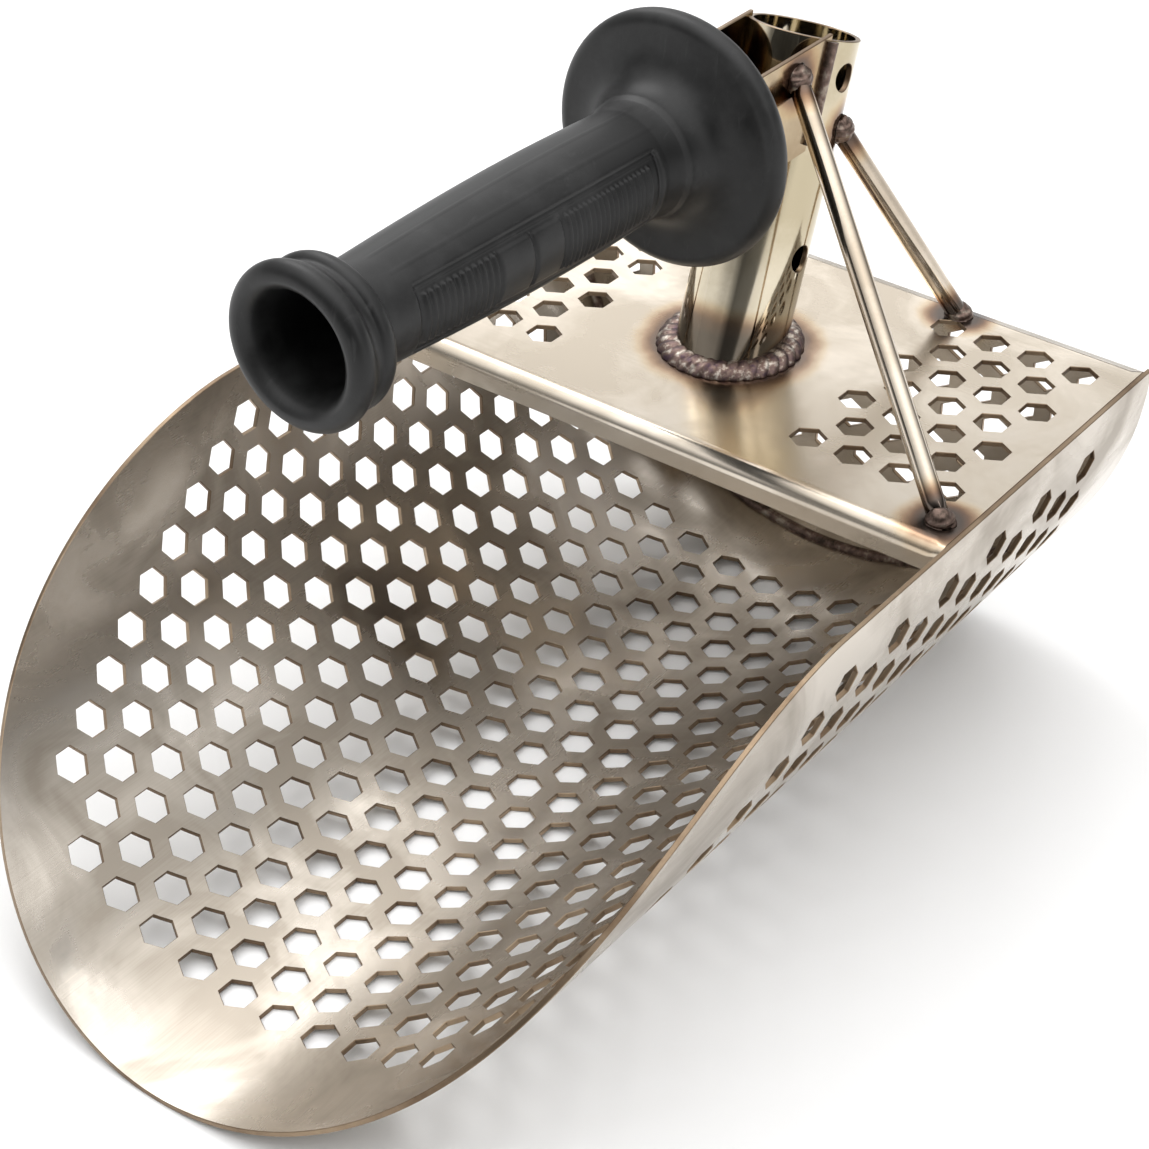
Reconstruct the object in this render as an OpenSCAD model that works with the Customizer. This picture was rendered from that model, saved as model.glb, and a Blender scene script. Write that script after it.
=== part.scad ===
// Beach sand scoop: a perforated half-round trough under a folded cover, with a leaning
// shaft socket, four stay rods and a rubber side grip. All sheet parts are welded.
// +X points to the nose, +Y to the left side, +Z up. The origin is the middle of the
// footprint, on the surface that the trough rests on.

/* [Trough] */
// Inner radius of the half-round trough
trough_r = 102; // [84:1:125]
// Length from the rear edge to the tip of the nose
trough_len = 309; // [300:1:380]
// Length over which the sides sweep in to the nose
sweep_len = 147; // [120:1:180]
// Fullness of the nose outline (2 is an ellipse)
nose_power = 1.8; // [1.5:0.05:2.4]
// Thickness of all sheet metal
sheet = 1.5; // [1:0.1:2.5]

/* [Perforation] */
// Distance between neighbouring holes
hole_pitch = 14.4; // [13:0.1:17]
// Width of a hexagonal hole across its flats
hole_flats = 9; // [6:0.1:10]
// Distance from the rear edge to the first row of trough holes
trough_rows_start = 33; // [26:1:45]
// Plain strip between the trough's outermost holes and its top edge
rim_margin = 15; // [10:1:40]
// Plain length between the last row of holes and the tip of the nose
nose_margin = 38; // [25:1:80]

/* [Cover] */
// Length of the cover from the rear bend to the front fold
cover_len = 114; // [95:1:137]
// Height of the front flange below the cover's top face
flange_h = 8.5; // [5:0.5:14]
// Outside radius of the cover's bends
bend_r = 3; // [2.6:0.1:5]
// Distance from the rear edge to the first row of cover holes
cover_rows_start = 15; // [11:1:19]
// Plain length between the last row of cover holes and the front fold
cover_front_margin = 20; // [12:1:50]
// Distance from the middle line to the innermost cover holes
cover_holes_y = 45.5; // [36:0.5:56]
// Plain strip between the outermost cover holes and the trough wall
cover_side_margin = 13; // [9:1:30]
// Depth of the first row of holes in the back wall
back_rows_start = 13; // [11:0.5:18]
// Plain margin between the back wall's holes and its edge
back_margin = 9; // [7:0.5:15]

/* [Shaft socket] */
// Inside diameter of the shaft socket
socket_bore = 29; // [23:0.5:35]
// Wall of the shaft socket
socket_wall = 1.5; // [1:0.1:3]
// Length of the socket along its own axis
socket_len = 92; // [77:1:110]
// Backward lean of the socket, in degrees
socket_lean = 19; // [12:1:24]
// Distance from the rear edge to the middle of the socket's foot
socket_x = 61; // [52:1:68]
// Diameter of the two cross-bolt holes
bolt_hole = 8; // [5:0.5:10]
// Distance along the socket from its foot to the lower bolt hole
lower_bolt_at = 30; // [24:1:36]
// Distance from the socket's mouth to the upper bolt hole
upper_bolt_drop = 10; // [8:1:15]

/* [Grip] */
// Length of the grip from the guard's front edge to the mouth
grip_len = 144; // [120:1:175]
// Diameter of the guard
guard_d = 71; // [59:1:86]
// Thickness of the guard at its edge
guard_t = 9; // [7:0.5:12]
// Outside diameter of the tube inside the grip
core_d = 22; // [18:0.5:27]
// Greatest thickness of the rubber over that tube in the hand part
rubber_wall = 5.25; // [4:0.25:7]
// How far the mouth's lip stands out beyond the hand part
lip_reach = 5; // [4:0.5:7]
// Upward tilt of the grip, in degrees
grip_tilt = 1.8; // [0:0.1:6]
// Height of the socket's mouth above the grip's axis
grip_drop = 9.5; // [4:0.5:20]
// Distance from the rear edge to the guard's front edge
guard_x = 99; // [92:1:110]

/* [Bracket] */
// How far the bracket's cheeks lie inside the socket's outline
cheek_inset = 2.25; // [1:0.25:5]
// Height of the grip bracket
bracket_h = 31; // [25:1:38]
// Gap between the bracket's front web and the guard
web_gap = 3; // [1:0.5:6]

/* [Stay rods] */
// Diameter of the four stay rods
rod_d = 6; // [5:0.5:8]
// Distance from the cover's front fold back to the front feet
front_foot_back = 11; // [9:1:20]
// Distance from the trough's inner wall in to the front feet
front_foot_in = 7; // [6.5:0.5:14]
// Distance from the rear edge to the rear feet
rear_foot_x = 6.5; // [6:0.5:9]
// Distance from the middle line to the rear feet
rear_foot_y = 44; // [35:1:50]
// Size of the weld bead around a rod, beyond the rod's surface
bead = 1.9; // [1.2:0.1:2.2]

/* [Hidden] */
$fn = 96;

outer_r = trough_r + sheet;
hex_r = hole_flats / sqrt(3);
row_step = hole_pitch * sqrt(3) / 2;
far = 2 * (trough_len + outer_r);
over = 1;

socket_r = socket_bore / 2 + socket_wall;
upper_bolt_at = socket_len - upper_bolt_drop;
grip_z = socket_len * cos(socket_lean) - grip_drop;
seam_r = 2;
ring_r = 3.2;
foot_ease = min(0.8, 0.6 * socket_wall);
eased_to = socket_bore / 2 * tan(socket_lean) + 0.6;

bracket_half = socket_r - cheek_inset;
guard_back_x = guard_x - guard_t * cos(grip_tilt);
web_x = guard_back_x - web_gap;
bracket_z = grip_z - guard_t * sin(grip_tilt) - 1.5;
core_r = core_d / 2;
core_depth = grip_len - 49;
hand_r = core_r + rubber_wall;
lip_r = hand_r + lip_reach;

function socket_axis_x(z) = socket_x - z * tan(socket_lean);

front_foot = [cover_len - front_foot_back, trough_r - front_foot_in, 0];
front_head = [socket_axis_x(grip_z) + socket_r + 5, bracket_half, bracket_z + bracket_h / 2 - 7];
rear_foot = [rear_foot_x, rear_foot_y, 0];
rear_head_at = 0.73 * socket_len;
rear_head_side = 66;
rear_head_in = socket_r * cos(rear_head_side);
rear_head = [socket_x - rear_head_at * sin(socket_lean) - rear_head_in * cos(socket_lean),
    socket_r * sin(rear_head_side),
    rear_head_at * cos(socket_lean) - rear_head_in * sin(socket_lean)];

// Places a part that is drawn from the rear edge of the cover's top face
module place() { translate([-trough_len / 2, 0, outer_r]) children(); }

// Points along an arc of a circle about (cx, cy)
function arc(cx, cy, r, from, to, n = 6) = [for (i = [0:n])
    let (a = from + (to - from) * i / n) [cx + r * cos(a), cy + r * sin(a)]];

module mirrored(side) { if (side > 0) children(); else mirror([0, 1, 0]) children(); }

// Half space above the cover's top face
module above() { translate([-far / 2, -far / 2, 0]) cube([far, far, far]); }

// Solid cylinder along X, centred on the trough's axis
module barrel(r, from, to) {
    translate([from, 0, 0]) rotate([0, 90, 0]) cylinder(r = r, h = to - from, $fn = 180);
}

// Follows the socket's axis: z = 0 is the middle of its foot
module on_socket() { translate([socket_x, 0, 0]) rotate([0, -socket_lean, 0]) children(); }

// Follows the grip's axis: z = 0 is the guard's front edge, +z goes to the mouth
module on_grip() { translate([guard_x, 0, grip_z]) rotate([0, 90 - grip_tilt, 0]) children(); }

module hex_cut(depth) { cylinder(r = hex_r, h = depth, $fn = 6); }

// Round bar between two points, longer by the given ends
module bar(a, b, d, before = 0, after = 0) {
    v = b - a;
    length = norm(v);
    translate(a) rotate([0, acos(v[2] / length), atan2(v[1], v[0])])
        rotate([0, 0, 50]) translate([0, 0, -before])
            cylinder(d = d, h = length + before + after, $fn = 32);
}

// --- trough ---

// Outline of the trough from the side: the sides sweep into the nose along a superellipse
// that is drawn on the unrolled sheet
module trough_side() {
    mid_r = trough_r + sheet / 2;
    steps = 24;
    rim = [for (i = [0:steps]) let (t = 90 * i / steps)
        [trough_len - sweep_len + sweep_len * pow(sin(t), 2 / nose_power), -mid_r * cos(90 * cos(t))]];
    polygon(concat([[-over, over], [trough_len - sweep_len, over]], rim,
        [[trough_len, -outer_r - over], [-over, -outer_r - over]]));
}

// The pattern is as long and as wide as the plain margins allow. It keeps its full width up to
// the sweep, then narrows by half a pitch for every row, and by one more in the last row.
trough_rows = floor((trough_len - nose_margin - trough_rows_start) / row_step) + 1;
trough_half_span = floor((trough_r * PI / 2 - rim_margin) / hole_pitch);
full_rows = floor((trough_len - sweep_len - trough_rows_start) / row_step) + 1;

// Half width of a row of holes, in hole pitches; odd rows lie half a pitch between the even ones
function row_span(row) = row < full_rows ? trough_half_span - (row % 2) / 2
    : max((row % 2) / 2, trough_half_span - ((full_rows + 1) % 2) / 2 - (row - full_rows + 1) / 2
        - (row == trough_rows - 1 ? 1 : 0));

module trough_holes() {
    for (row = [0:trough_rows - 1])
        for (k = [-row_span(row):row_span(row)])
            translate([trough_rows_start + row * row_step, 0, 0])
                rotate([k * hole_pitch / trough_r * 180 / PI, 0, 0])
                    translate([0, 0, -outer_r - over]) hex_cut(sheet + 2 * over);
}

module trough_shell() {
    color([0.72, 0.70, 0.66]) place() difference() {
        intersection() {
            difference() {
                barrel(outer_r, 0, trough_len);
                barrel(trough_r, -over, trough_len + over);
            }
            translate([0, far / 2, 0]) rotate([90, 0, 0]) linear_extrude(height = far) trough_side();
            translate([-over, -far / 2, -far]) cube([far, far, far]);
        }
        trough_holes();
    }
}

// --- cover ---

// Section of the folded cover: front flange, flat top, rear bend and back wall
module cover_section() {
    inner = bend_r - sheet;
    steps = 8;
    polygon(concat(arc(bend_r, -bend_r, bend_r, 90, 180, steps), [[0, -outer_r], [sheet, -outer_r]],
        arc(bend_r, -bend_r, inner, 180, 90, steps), arc(cover_len - bend_r, -bend_r, inner, 90, 0, steps),
        [[cover_len - sheet, -flange_h], [cover_len, -flange_h]],
        arc(cover_len - bend_r, -bend_r, bend_r, 0, 90, steps)));
}

// Rows and columns of cover holes that the plain margins leave room for, on each side
cover_rows = floor((cover_len - cover_front_margin - cover_rows_start) / row_step) + 1;
cover_columns = floor((trough_r - cover_side_margin - cover_holes_y) / hole_pitch) + 1;

module cover_holes() {
    for (side = [-1, 1], row = [0:cover_rows - 1])
        for (k = [0:cover_columns - 1 - row % 2])
            translate([cover_rows_start + row * row_step,
                side * (cover_holes_y + (k + (row % 2) / 2) * hole_pitch), -sheet - over])
                hex_cut(sheet + 2 * over);
}

module back_holes() {
    reach = trough_r - back_margin - hex_r;
    rows = floor((reach - back_rows_start) / row_step);
    for (row = [0:rows]) {
        z = -back_rows_start - row * row_step;
        half = sqrt(reach * reach - z * z) / hole_pitch;
        span = floor(half - (row % 2) / 2) + (row % 2) / 2;
        for (k = [-span:span])
            translate([-over, k * hole_pitch, z]) rotate([0, 90, 0]) hex_cut(sheet + 2 * over);
    }
}

module cover_plate() {
    color([0.80, 0.77, 0.72]) place() difference() {
        intersection() {
            translate([0, outer_r, 0]) rotate([90, 0, 0])
                linear_extrude(height = 2 * outer_r) cover_section();
            barrel(trough_r, -over, cover_len + over);
        }
        cover_holes();
        back_holes();
    }
}

// Fillet bead under the cover's edge, along the trough wall
module cover_seam_weld(side) {
    color([0.45, 0.38, 0.32]) place() mirrored(side) intersection() {
        translate([bend_r + over, trough_r, -sheet]) rotate([0, 90, 0])
            cylinder(r = seam_r, h = cover_len - 2 * bend_r - 2 * over, $fn = 24);
        translate([0, 0, -sheet - 2 * seam_r]) cube([far, trough_r, 2 * seam_r]);
        barrel(trough_r, 0, cover_len);
    }
}

// Fillet bead inside the corner of the back wall and the trough
module back_seam_weld() {
    color([0.45, 0.38, 0.32]) place() intersection() {
        rotate([0, 90, 0]) rotate_extrude($fn = 180) intersection() {
            translate([trough_r, sheet]) circle(r = seam_r, $fn = 24);
            translate([trough_r - 2 * seam_r, sheet]) square(2 * seam_r);
        }
        translate([0, -far / 2, -far - bend_r - seam_r]) cube([far, far, far]);
    }
}

// --- shaft socket ---

module socket_cut() {
    reach = 2 * socket_r + 2 * over;
    for (at = [lower_bolt_at, upper_bolt_at])
        translate([0, reach / 2, at]) rotate([90, 0, 0]) cylinder(d = bolt_hole, h = reach, $fn = 48);
}

// The socket's outer solid, longer than the tube at its foot
module socket_solid(r, extra = 0) {
    on_socket() translate([0, 0, -socket_r - extra]) cylinder(r = r, h = socket_len + socket_r + 2 * extra);
}

// The bore, eased wider over the slanted end of its foot so that a square-cut shaft seats
module socket_hollow() {
    r = socket_bore / 2;
    rotate_extrude() polygon([[0, -eased_to - over], [r + foot_ease, -eased_to - over], [r, eased_to],
        [r, socket_len + over], [0, socket_len + over]]);
}

module shaft_socket() {
    color([0.78, 0.76, 0.70]) place() difference() {
        intersection() {
            socket_solid(socket_r);
            above();
        }
        on_socket() socket_hollow();
        on_socket() socket_cut();
    }
}

// Fillet bead all round the socket's foot
module socket_base_weld() {
    color([0.42, 0.33, 0.28]) place() difference() {
        intersection() {
            translate([socket_x, 0, 0]) rotate_extrude()
                translate([socket_r, 0]) circle(r = ring_r, $fn = 32);
            above();
        }
        socket_solid(socket_r);
    }
}

// --- grip bracket ---

module bracket_section() {
    difference() {
        translate([0, -bracket_half]) square([web_x, 2 * bracket_half]);
        translate([-over, -bracket_half + sheet])
            square([web_x - sheet + over, 2 * (bracket_half - sheet)]);
    }
}

// U-shaped saddle: two cheeks coped to the socket and kept clear of its mouth, and a web in front
module grip_bracket() {
    color([0.62, 0.58, 0.52]) place() difference() {
        intersection() {
            translate([0, 0, bracket_z - bracket_h / 2])
                linear_extrude(height = bracket_h) bracket_section();
            ahead_of_socket();
        }
        socket_solid(socket_r, bracket_h);
    }
}

// Half space in front of the socket's axis
module ahead_of_socket() { on_socket() translate([0, -far / 2, -far / 2]) cube([far, far, far]); }

// Bead along the joint of a cheek and the socket
module bracket_weld(side) {
    r = 2;
    x_off = sqrt(socket_r * socket_r - bracket_half * bracket_half);
    drop = x_off * tan(socket_lean);
    low = (bracket_z - bracket_h / 2) / cos(socket_lean) - drop + r;
    high = min(socket_len - 0.3, (bracket_z + bracket_h / 2) / cos(socket_lean) - drop - r);
    color([0.40, 0.33, 0.28]) place() mirrored(side) difference() {
        on_socket() translate([x_off, bracket_half, low]) cylinder(r = r, h = high - low, $fn = 24);
        socket_solid(socket_r);
        cube([far, bracket_half, far]);
    }
}

// --- grip ---

module grip_core_tube() {
    start = guard_t + web_gap + 5;
    color([0.60, 0.58, 0.55]) place() intersection() {
        on_grip() translate([0, 0, -start]) difference() {
            cylinder(r = core_r, h = core_depth + start, $fn = 64);
            translate([0, 0, -over])
                cylinder(r = core_r - sheet, h = core_depth + start + 2 * over, $fn = 64);
        }
        translate([web_x, -far / 2, -far / 2]) cube([far, far, far]);
    }
}

// Bead round the joint of the core tube and the bracket's web
module core_tube_weld() {
    r = min(1.6, web_gap - 0.4);
    color([0.40, 0.33, 0.28]) place() difference() {
        intersection() {
            translate([web_x, 0, grip_z - (guard_x - web_x) * tan(grip_tilt)])
                rotate([0, 90 - grip_tilt, 0]) rotate_extrude($fn = 64)
                    translate([core_r, 0]) circle(r = r, $fn = 24);
            translate([web_x, -far / 2, -far / 2]) cube([far, far, far]);
        }
        on_grip() translate([0, 0, -far / 2]) cylinder(r = core_r, h = far, $fn = 64);
    }
}

// Half section of the grip: radius against the distance from the guard's front edge
module grip_section() {
    guard_r = guard_d / 2;
    edge_r = guard_t / 2 - 0.5;
    lip_edge = 3;
    mouth_r = lip_r - 2 * lip_edge - 1.5;
    hub_r = hand_r - 1;
    web = guard_r - hub_r;
    neck_r = hand_r - 2.5;
    collar_r = lip_r - 2.5;
    swell = [for (i = [0:10]) let (u = i / 10, bulge = (hand_r - hub_r) * sin(180 * pow(u, 0.8)))
        [hub_r + bulge + (neck_r - hub_r) * u * u, 18 + (grip_len - 40) * u]];
    polygon(concat(
        [[core_r, -guard_t]],
        arc(guard_r - edge_r, edge_r - guard_t, edge_r, -90, 0),
        arc(guard_r - edge_r, -edge_r - 1, edge_r, 0, 80),
        [[hub_r + 0.56 * web, 0.4], [hub_r + 0.31 * web, 2.4], [hub_r + 0.2 * web, 6.5],
            [hub_r + 0.07 * web, 11]],
        swell,
        [[neck_r + 0.4, grip_len - 18], [neck_r + 2, grip_len - 15], [collar_r - 0.6, grip_len - 13.2],
            [collar_r, grip_len - 11], [collar_r, grip_len - 8]],
        arc(lip_r - lip_edge, grip_len - lip_edge, lip_edge, -30, 90),
        [[lip_r - lip_edge - 2, grip_len - 0.4], [mouth_r + 1.2, grip_len - 2.2], [mouth_r, grip_len - 6],
            [core_r + 0.6, grip_len - 22], [core_r, grip_len - 30]]));
}

module rubber_grip() {
    color([0.13, 0.13, 0.13]) place() on_grip() rotate_extrude() grip_section();
}

// --- stay rods ---

module front_bar(extra = 0) { bar(front_foot, front_head, rod_d + 2 * extra, rod_d, rod_d); }

module rear_bar(extra = 0) { bar(rear_foot, rear_head, rod_d + 2 * extra, rod_d, 2); }

// Front rods run from the cover's front corners to the bracket's cheeks
module front_brace(side) {
    color([0.66, 0.60, 0.52]) place() mirrored(side) difference() {
        intersection() {
            front_bar();
            above();
        }
        translate([-far / 2, -far + bracket_half, -over]) cube([far, far, far]);
    }
}

// Rear rods run from the cover's rear edge to the back of the socket
module rear_brace(side) {
    color([0.66, 0.60, 0.52]) place() mirrored(side) difference() {
        intersection() {
            rear_bar();
            above();
        }
        socket_solid(socket_r);
    }
}

// Lump of weld on a surface, round a rod's end
module weld_lump(at, size) { translate(at) sphere(r = size, $fn = 40); }

module front_foot_weld(side) {
    color([0.22, 0.18, 0.15]) place() mirrored(side) difference() {
        intersection() {
            weld_lump(front_foot, rod_d / 2 + bead);
            above();
        }
        front_bar();
    }
}

module rear_foot_weld(side) {
    color([0.22, 0.18, 0.15]) place() mirrored(side) difference() {
        intersection() {
            weld_lump(rear_foot, rod_d / 2 + bead);
            above();
        }
        rear_bar();
    }
}

module front_head_weld(side) {
    color([0.34, 0.27, 0.22]) place() mirrored(side) difference() {
        weld_lump(front_head, rod_d / 2 + bead);
        translate([-far / 2, -far + bracket_half, -far / 2]) cube([far, far, far]);
        front_bar();
        socket_solid(socket_r);
    }
}

module rear_head_weld(side) {
    color([0.34, 0.27, 0.22]) place() mirrored(side) difference() {
        weld_lump(rear_head, rod_d / 2 + bead);
        socket_solid(socket_r);
        rear_bar();
    }
}

trough_shell();
cover_plate();
cover_seam_weld(1);  // cover_seam_weld_left
cover_seam_weld(-1);  // cover_seam_weld_right
back_seam_weld();
shaft_socket();
socket_base_weld();
grip_bracket();
bracket_weld(1);  // bracket_weld_left
bracket_weld(-1);  // bracket_weld_right
grip_core_tube();
core_tube_weld();
rubber_grip();
front_brace(1);  // front_brace_left
front_brace(-1);  // front_brace_right
rear_brace(1);  // rear_brace_left
rear_brace(-1);  // rear_brace_right
front_foot_weld(1);  // front_foot_weld_left
front_foot_weld(-1);  // front_foot_weld_right
front_head_weld(1);  // front_head_weld_left
front_head_weld(-1);  // front_head_weld_right
rear_foot_weld(1);  // rear_foot_weld_left
rear_foot_weld(-1);  // rear_foot_weld_right
rear_head_weld(1);  // rear_head_weld_left
rear_head_weld(-1);  // rear_head_weld_right
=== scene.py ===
"""Beach sand scoop: the finished model with its materials, light and camera.

A perforated half-round trough of stainless sheet is closed at its rear by a folded cover. A
leaning socket on the cover takes the shaft, a saddle bracket holds a rubber side grip, and four
stay rods brace the socket. Sizes are in millimetres in the maker's own axes: x runs from the
rear edge to the nose, y from the middle line to the left, z up from the cover's top face.
"""

import logging
import math
from dataclasses import dataclass, field
from enum import Enum
from typing import Callable

import bpy
import numpy as np
from mathutils import Matrix, Vector
from mathutils.geometry import delaunay_2d_cdt


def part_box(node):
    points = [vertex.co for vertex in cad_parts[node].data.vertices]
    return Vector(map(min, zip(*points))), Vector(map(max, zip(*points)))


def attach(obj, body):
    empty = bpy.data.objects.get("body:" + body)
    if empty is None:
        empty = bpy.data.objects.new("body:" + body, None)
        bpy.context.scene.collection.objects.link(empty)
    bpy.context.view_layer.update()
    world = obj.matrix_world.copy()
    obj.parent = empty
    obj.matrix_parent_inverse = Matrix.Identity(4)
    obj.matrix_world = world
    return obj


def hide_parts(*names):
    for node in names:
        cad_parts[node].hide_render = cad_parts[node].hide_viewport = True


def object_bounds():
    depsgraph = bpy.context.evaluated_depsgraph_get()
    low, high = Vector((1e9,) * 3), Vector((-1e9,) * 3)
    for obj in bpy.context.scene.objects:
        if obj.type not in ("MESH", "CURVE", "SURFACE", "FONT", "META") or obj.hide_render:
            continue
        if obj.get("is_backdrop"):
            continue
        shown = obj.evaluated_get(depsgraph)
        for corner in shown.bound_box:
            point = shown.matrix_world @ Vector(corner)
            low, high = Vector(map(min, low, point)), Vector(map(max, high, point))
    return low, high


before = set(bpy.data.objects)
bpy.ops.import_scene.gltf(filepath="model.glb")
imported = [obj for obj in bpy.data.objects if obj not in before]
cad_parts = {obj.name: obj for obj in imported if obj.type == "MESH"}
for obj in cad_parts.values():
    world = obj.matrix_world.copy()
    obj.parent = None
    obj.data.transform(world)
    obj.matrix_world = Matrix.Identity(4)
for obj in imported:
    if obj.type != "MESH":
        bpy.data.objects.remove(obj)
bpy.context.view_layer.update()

MM = 0.001
POINT_SPACING = 4.8  # millimetres between the inner points of a large sheet
CUT_SHEETS = ("trough_shell", "cover_plate", "shaft_socket", "grip_bracket")
Fold = Callable[[np.ndarray, float], tuple[np.ndarray, np.ndarray]]
log = logging.getLogger("sand_scoop")


class Side(Enum):
    """The two sides of the scoop's middle plane."""

    LEFT = 1
    RIGHT = -1


# --- places and vectors ---


def place(points: np.ndarray) -> np.ndarray:
    """Moves points from the maker's axes, in millimetres, to the CAD frame, in metres.

    Args:
        points: array whose last axis is x, y, z in millimetres.

    Returns:
        The same array shifted to the trough's rear edge and top plane, times a thousandth.
    """
    low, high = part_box("trough_shell")
    return np.asarray(points, float) * MM + np.array([low.x, 0.0, high.z])


def unit(vectors: np.ndarray) -> np.ndarray:
    """Gives each vector of an array a length of one."""
    return vectors / np.maximum(np.linalg.norm(vectors, axis=-1, keepdims=True), 1e-12)


def smooth_step(x: np.ndarray, low: float, high: float) -> np.ndarray:
    """Rises from 0 at low to 1 at high as 3u² − 2u³, and falls if low is above high."""
    u = np.clip((x - low) / (high - low), 0.0, 1.0)
    return u * u * (3.0 - 2.0 * u)


def window(x: np.ndarray, low: float, high: float, soft: float) -> np.ndarray:
    """Is 1 between low and high and 0 outside, with edges as wide as soft."""
    return smooth_step(x, low - soft / 2, low + soft / 2) * smooth_step(x, high + soft / 2, high - soft / 2)


def arc(centre: tuple[float, float], radius: float, start: float, end: float, steps: int) -> np.ndarray:
    """Points on a circle about a centre, from one angle to another in degrees."""
    a = np.radians(np.linspace(start, end, steps + 1))
    return np.column_stack([centre[0] + radius * np.cos(a), centre[1] + radius * np.sin(a)])


def resampled(points: np.ndarray, step: float, closed: bool = False) -> np.ndarray:
    """Splits every stretch of a line into equal parts no longer than a step.

    Args:
        points: corners of the line, one per row.
        step: greatest length of a part.
        closed: whether the last corner joins the first.

    Returns:
        The corners with the new points between them; a closed line doesn't repeat its start.
    """
    ends = np.roll(points, -1, axis=0) if closed else points[1:]
    parts = []
    for a, b in zip(points, ends):
        count = max(1, math.ceil(np.linalg.norm(b - a) / step))
        parts.append(a + (b - a) * (np.arange(count) / count)[:, None])
    if not closed:
        parts.append(points[-1:])
    return np.concatenate(parts)


# --- meshes ---


def mesh_object(name: str, points: np.ndarray, faces: list[np.ndarray],
                normals: np.ndarray | None = None, flat_map: np.ndarray | None = None) -> bpy.types.Object:
    """Puts points and faces into a new smooth-shaded mesh object at the origin.

    Args:
        name: the object's name.
        points: points in the CAD frame, in metres.
        faces: arrays of corner numbers, one array for each number of corners.
        normals: a normal for each corner of each face, in the faces' order.
        flat_map: a place on the unrolled sheet for each corner, in metres.

    Returns:
        The object, linked to the scene.
    """
    used, renumbered = np.unique(np.concatenate([group.ravel() for group in faces]), return_inverse=True)
    ends = np.cumsum([group.size for group in faces])[:-1]
    faces = [part.reshape(group.shape) for part, group in zip(np.split(renumbered.ravel(), ends), faces)]
    points = points[used]
    mesh = bpy.data.meshes.new(name)
    mesh.from_pydata(points.tolist(), [], [face for group in faces for face in group.tolist()])
    mesh.polygons.foreach_set("use_smooth", np.ones(len(mesh.polygons), bool))
    if flat_map is not None:
        mesh.uv_layers.new(name="sheet").data.foreach_set("uv", flat_map.ravel())
    if normals is not None:
        mesh.normals_split_custom_set(unit(normals).tolist())
    mesh.update()
    made = bpy.data.objects.new(name, mesh)
    bpy.context.scene.collection.objects.link(made)
    return made


def lofted(name: str, rings: np.ndarray, capped: bool = True, closed: bool = False) -> bpy.types.Object:
    """Skins a row of rings with a grid of four-sided faces.

    Args:
        name: the object's name.
        rings: array of rings × points × xyz in millimetres; each ring turns right-handed
            about the direction that the rings follow.
        capped: whether a fan closes the first and the last ring.
        closed: whether the last ring joins the first.

    Returns:
        The object.
    """
    count, around = rings.shape[:2]
    rows = np.arange(count if closed else count - 1)[:, None]
    here, turn = np.arange(around)[None, :], (np.arange(around)[None, :] + 1) % around
    after = (rows + 1) % count
    quads = np.stack([rows * around + here, rows * around + turn,
                      after * around + turn, after * around + here], axis=-1).reshape(-1, 4)
    points, faces = rings.reshape(-1, 3), [quads]
    if capped:
        last, total = (count - 1) * around, count * around
        here, turn = here[0], turn[0]
        fans = [np.column_stack([np.full(around, total), turn, here]),
                np.column_stack([np.full(around, total + 1), last + here, last + turn])]
        points = np.concatenate([points, rings[[0, -1]].mean(axis=1)])
        faces += fans
    return mesh_object(name, place(points), faces)


def revolved(profile: np.ndarray, start: np.ndarray, along: np.ndarray, side: np.ndarray,
             around: int) -> np.ndarray:
    """Turns a profile about an axis: point = start + t·along + r·(cos a·side + sin a·up).

    Args:
        profile: rows of radius and distance along the axis.
        start: a point of the axis.
        along: the axis's direction, of length one.
        side: a direction square to the axis, of length one.
        around: number of points in a ring.

    Returns:
        Array of rings × points × xyz.
    """
    up = np.cross(along, side)
    a = np.linspace(0.0, 2 * np.pi, around, endpoint=False)
    spokes = np.cos(a)[:, None] * side + np.sin(a)[:, None] * up
    return start + profile[:, 1, None, None] * along + profile[:, 0, None, None] * spokes


def hexagon(centre: tuple[float, float], flats: float, parts: int = 2) -> np.ndarray:
    """A hexagon's outline with two corners along the second axis, each side split into parts."""
    corners = arc(centre, flats / math.sqrt(3), 90, 450, 6)
    return resampled(corners[:-1], flats / math.sqrt(3) / parts + 1e-6, closed=True)


def within(points: np.ndarray, outline: np.ndarray) -> np.ndarray:
    """Tells which points lie inside an outline, by counting the sides that a ray crosses."""
    a, b = outline, np.roll(outline, -1, axis=0)
    x, y = points[:, :1], points[:, 1:]
    straddles = (a[:, 1] > y) != (b[:, 1] > y)
    rise = np.where(b[:, 1] == a[:, 1], 1e-12, b[:, 1] - a[:, 1])
    crossing = a[:, 0] + (y - a[:, 1]) * (b[:, 0] - a[:, 0]) / rise
    return ((straddles & (x < crossing)).sum(axis=1) % 2) == 1


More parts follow.
